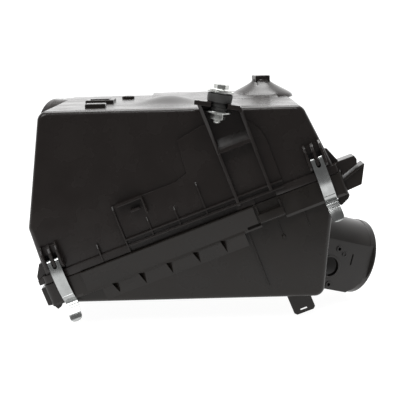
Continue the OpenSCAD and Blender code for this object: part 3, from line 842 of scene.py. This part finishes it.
def make_media():
    """The pleated paper: one wavy sheet, with three glue threads across it."""
    u0, u1, y0, y1 = seal_box(SEAL_W)
    low = SHELF_V + 3
    pitch = (u1 - u0) / PLEATS
    sharp = 0.985            # nearer to 1 makes the folds sharper
    top, under = [], []
    for k in range(PLEATS * PLEAT_STEPS + 1):
        phase = k / PLEAT_STEPS
        wave = math.asin(sharp * math.cos(2 * math.pi * phase)) / math.asin(sharp)
        v = low + (MEDIA_H - 1.6) * (0.5 - 0.5 * wave)
        top.append((u0 + phase * pitch, v + 2.6))
        under.append((u0 + phase * pitch, v + 0.4))
    media = object_of("pleat_pack", [(prism(top + under[::-1], y0, y1, 0), FLANGE)])
    threads = []
    for y in (52, 102, 152):
        at = FLANGE @ Matrix.Translation((u0 + 3, y, low + MEDIA_H - 1.2)) @ ALONG_U
        threads.append((rod(0.7, 0, u1 - u0 - 6, 10, 0.2), at))
    add(media, *threads)
    finish_piece(media, "filter", PAPER, ["filter_media"], 40)


# ------------------------------------------------------------------ build

make_cover()
make_case()
make_outlet()
make_inlet()
for side, across in CLIP_U.items():
    make_clip("clip_front_" + side, across, FLANGE)
    make_clip("clip_rear_" + side, across, AT_BACK)
make_rubber()
make_washers()
make_bolt()
make_nut()
make_seal()
make_media()

# CAD bodies that are shown as they are
carried = [("pivot_%s_%s" % (end, side), PIVOT_PLASTIC, "cover_plastic")
           for end in ("front", "rear") for side in ("left", "right")]
for name, material, slot in carried + [("isolator_collar", ZINC, "zinc")]:
    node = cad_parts[name]
    node.data.materials.clear()
    node.data.materials.append(material)

# ------------------------------------------------------------------ floor, light and camera


def make_floor():
    """A pale floor just under the object, glowing a little so that it reads as white paper."""
    material = bpy.data.materials.new("floor_white")
    shader = nodes_of(material)[1]
    shader.inputs["Base Color"].default_value = (0.2, 0.2, 0.2, 1)
    shader.inputs["Roughness"].default_value = 0.9
    shader.inputs["Emission Color"].default_value = (1, 1, 1, 1)
    shader.inputs["Emission Strength"].default_value = 0.95
    z = CAD_LOW.z - 0.0002
    front = -0.45            # the floor stops here, so the front walls mirror the dim side of the room
    mesh = bpy.data.meshes.new("floor")
    mesh.from_pydata([(-6, front, z), (6, front, z), (6, 12, z), (-6, 12, z)], [], [(0, 1, 2, 3)])
    mesh.materials.append(material)
    floor = bpy.data.objects.new("floor", mesh)
    bpy.context.scene.collection.objects.link(floor)


def make_world():
    """White behind the object; what lights it is dim towards the front and bright towards the back."""
    world = bpy.data.worlds.new("studio")
    bpy.context.scene.world = world
    world.use_nodes = True
    tree = world.node_tree
    tree.nodes.clear()
    out = tree.nodes.new("ShaderNodeOutputWorld")
    seen = tree.nodes.new("ShaderNodeBackground")
    seen.inputs["Color"].default_value = (1, 1, 1, 1)
    seen.inputs["Strength"].default_value = 1.2
    lit = tree.nodes.new("ShaderNodeBackground")
    lit.inputs["Strength"].default_value = 1.6
    path = tree.nodes.new("ShaderNodeLightPath")
    mix = tree.nodes.new("ShaderNodeMixShader")
    coords = tree.nodes.new("ShaderNodeTexCoord")
    split = tree.nodes.new("ShaderNodeSeparateXYZ")
    tree.links.new(coords.outputs["Generated"], split.inputs["Vector"])
    spread = tree.nodes.new("ShaderNodeMapRange")
    spread.inputs["From Min"].default_value = -1
    tree.links.new(split.outputs["Y"], spread.inputs["Value"])
    tree.links.new(ramp(tree, spread.outputs["Result"], 0.13, 1.0, 0.4, 0.95), lit.inputs["Color"])
    tree.links.new(path.outputs["Is Camera Ray"], mix.inputs["Fac"])
    tree.links.new(lit.outputs["Background"], mix.inputs[1])
    tree.links.new(seen.outputs["Background"], mix.inputs[2])
    tree.links.new(mix.outputs["Shader"], out.inputs["Surface"])


def softbox(name, at, aim, size, power):
    """A rectangular area lamp, in metres, pointed at a place."""
    data = bpy.data.lights.new(name, "AREA")
    data.shape = "RECTANGLE"
    data.size, data.size_y = size
    data.energy = power
    lamp = bpy.data.objects.new(name, data)
    bpy.context.scene.collection.objects.link(lamp)
    lamp.location = at
    lamp.rotation_euler = (Vector(aim) - Vector(at)).to_track_quat("-Z", "Y").to_euler()
    return lamp


make_floor()
make_world()
MIDDLE = (CAD_LOW + CAD_HIGH) / 2
softbox("key", (-1.3, -1.3, 1.5), MIDDLE, (0.9, 0.9), 16)
softbox("glint", (-0.1, -1.2, 2.0), MIDDLE, (0.5, 0.16), 9)
softbox("overhead", (-0.2, 0.5, 1.9), MIDDLE, (1.6, 1.2), 45)

camera_data = bpy.data.cameras.new("camera")
camera_data.sensor_width = 36
camera_data.lens = 87.3
camera_data.clip_end = 50
camera = bpy.data.objects.new("camera", camera_data)
bpy.context.scene.collection.objects.link(camera)
place = TO_FRAME @ Vector((11.2, -950, 200))
pitch, roll = math.radians(10.17), math.radians(1.4)
camera.matrix_world = (Matrix.Translation(place) @ Matrix.Rotation(math.radians(90) - pitch, 4, "X")
                       @ Matrix.Rotation(-roll, 4, "Z"))
bpy.context.scene.camera = camera
bpy.context.scene.view_settings.view_transform = "Standard"
